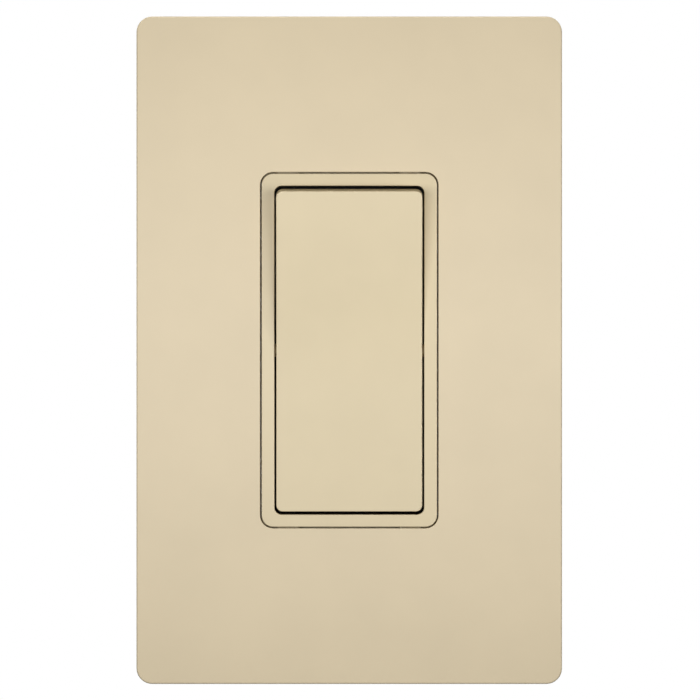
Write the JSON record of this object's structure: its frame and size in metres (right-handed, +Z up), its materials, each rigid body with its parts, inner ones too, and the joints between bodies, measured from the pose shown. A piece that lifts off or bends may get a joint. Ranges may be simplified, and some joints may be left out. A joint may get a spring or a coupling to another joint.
{
  "type": "decorator rocker wall switch",
  "caption": "Single-pole decorator rocker wall switch with a screwless clip-on plate, steel mounting strap, side screw terminals and a sprung see-saw contact inside.",
  "frame": {"origin": "centre of the device on the finished-wall plane", "axes": "+Y into the wall box, +X to the right as seen from the room, +Z up; the room is at -Y"},
  "size_m": [0.0802, 0.0354, 0.1258],
  "materials": {
    "wall_plate": "satin ivory moulded plastic",
    "device_face": "satin ivory moulded plastic",
    "sub_plate": "ivory moulded plastic",
    "body_plastic": "dark thermoplastic",
    "nylon": "natural nylon",
    "zinc_steel": "bright zinc plate",
    "spring_steel": "drawn wire",
    "brass": "stamped strip",
    "brass_screw": "brass-plated steel",
    "silver_alloy": "silver alloy",
    "green_screw": "green dyed zinc plate",
    "fibre": "pressed fibre"
  },
  "bodies": {
    "device": {"sub_plate": "sub_plate", "plate_screw_upper": "zinc_steel", "plate_screw_lower": "zinc_steel", "strap": "zinc_steel", "mounting_screw_upper": "zinc_steel", "mounting_screw_lower": "zinc_steel", "screw_retainer_upper": "fibre", "screw_retainer_lower": "fibre", "bezel": "device_face", "common_terminal": "brass", "switched_terminal": "brass", "fixed_contact": "silver_alloy", "terminal_screw_common": "brass_screw", "terminal_screw_switched": "brass_screw", "push_in_clip_common": "brass", "push_in_clip_switched": "brass", "ground_screw": "green_screw", "back_body": "body_plastic", "chamber_cover": "body_plastic", "assembly_screw_upper_left": "zinc_steel", "assembly_screw_upper_right": "zinc_steel", "assembly_screw_lower_left": "zinc_steel", "assembly_screw_lower_right": "zinc_steel"},
    "wall_plate": {"cover_plate": "wall_plate"},
    "rocker": {"paddle": "device_face", "detent_spring": "spring_steel"},
    "detent_plunger": {"plunger": "nylon"},
    "contact_see_saw": {"contact_arm": "brass", "moving_contact": "silver_alloy"}
  },
  "joints": [
    {"name": "rocker_tilt", "type": "hinge", "parent": "device", "child": "rocker", "pos_m": [0, -0.0039, 0], "axis": [1, 0, 0], "range_deg": [-7, 0]},
    {"name": "contact_rock", "type": "hinge", "parent": "device", "child": "contact_see_saw", "pos_m": [0, 0.01475, 0], "axis": [1, 0, 0], "range_deg": [0, 10]},
    {"name": "plunger_press", "type": "slide", "parent": "rocker", "child": "detent_plunger", "axis": [0, -0.9981, -0.061], "range_m": [0, 0.0012], "stiffness_N_per_m": 600, "deforming": ["detent_spring"]},
    {"name": "plate_pull_off", "type": "slide", "parent": "device", "child": "wall_plate", "axis": [0, -1, 0], "range_m": [0, 0.025]}
  ],
  "couplings": [
    {"joint": "contact_rock", "follows": "rocker_tilt", "ratio": -1.4286}
  ]
}
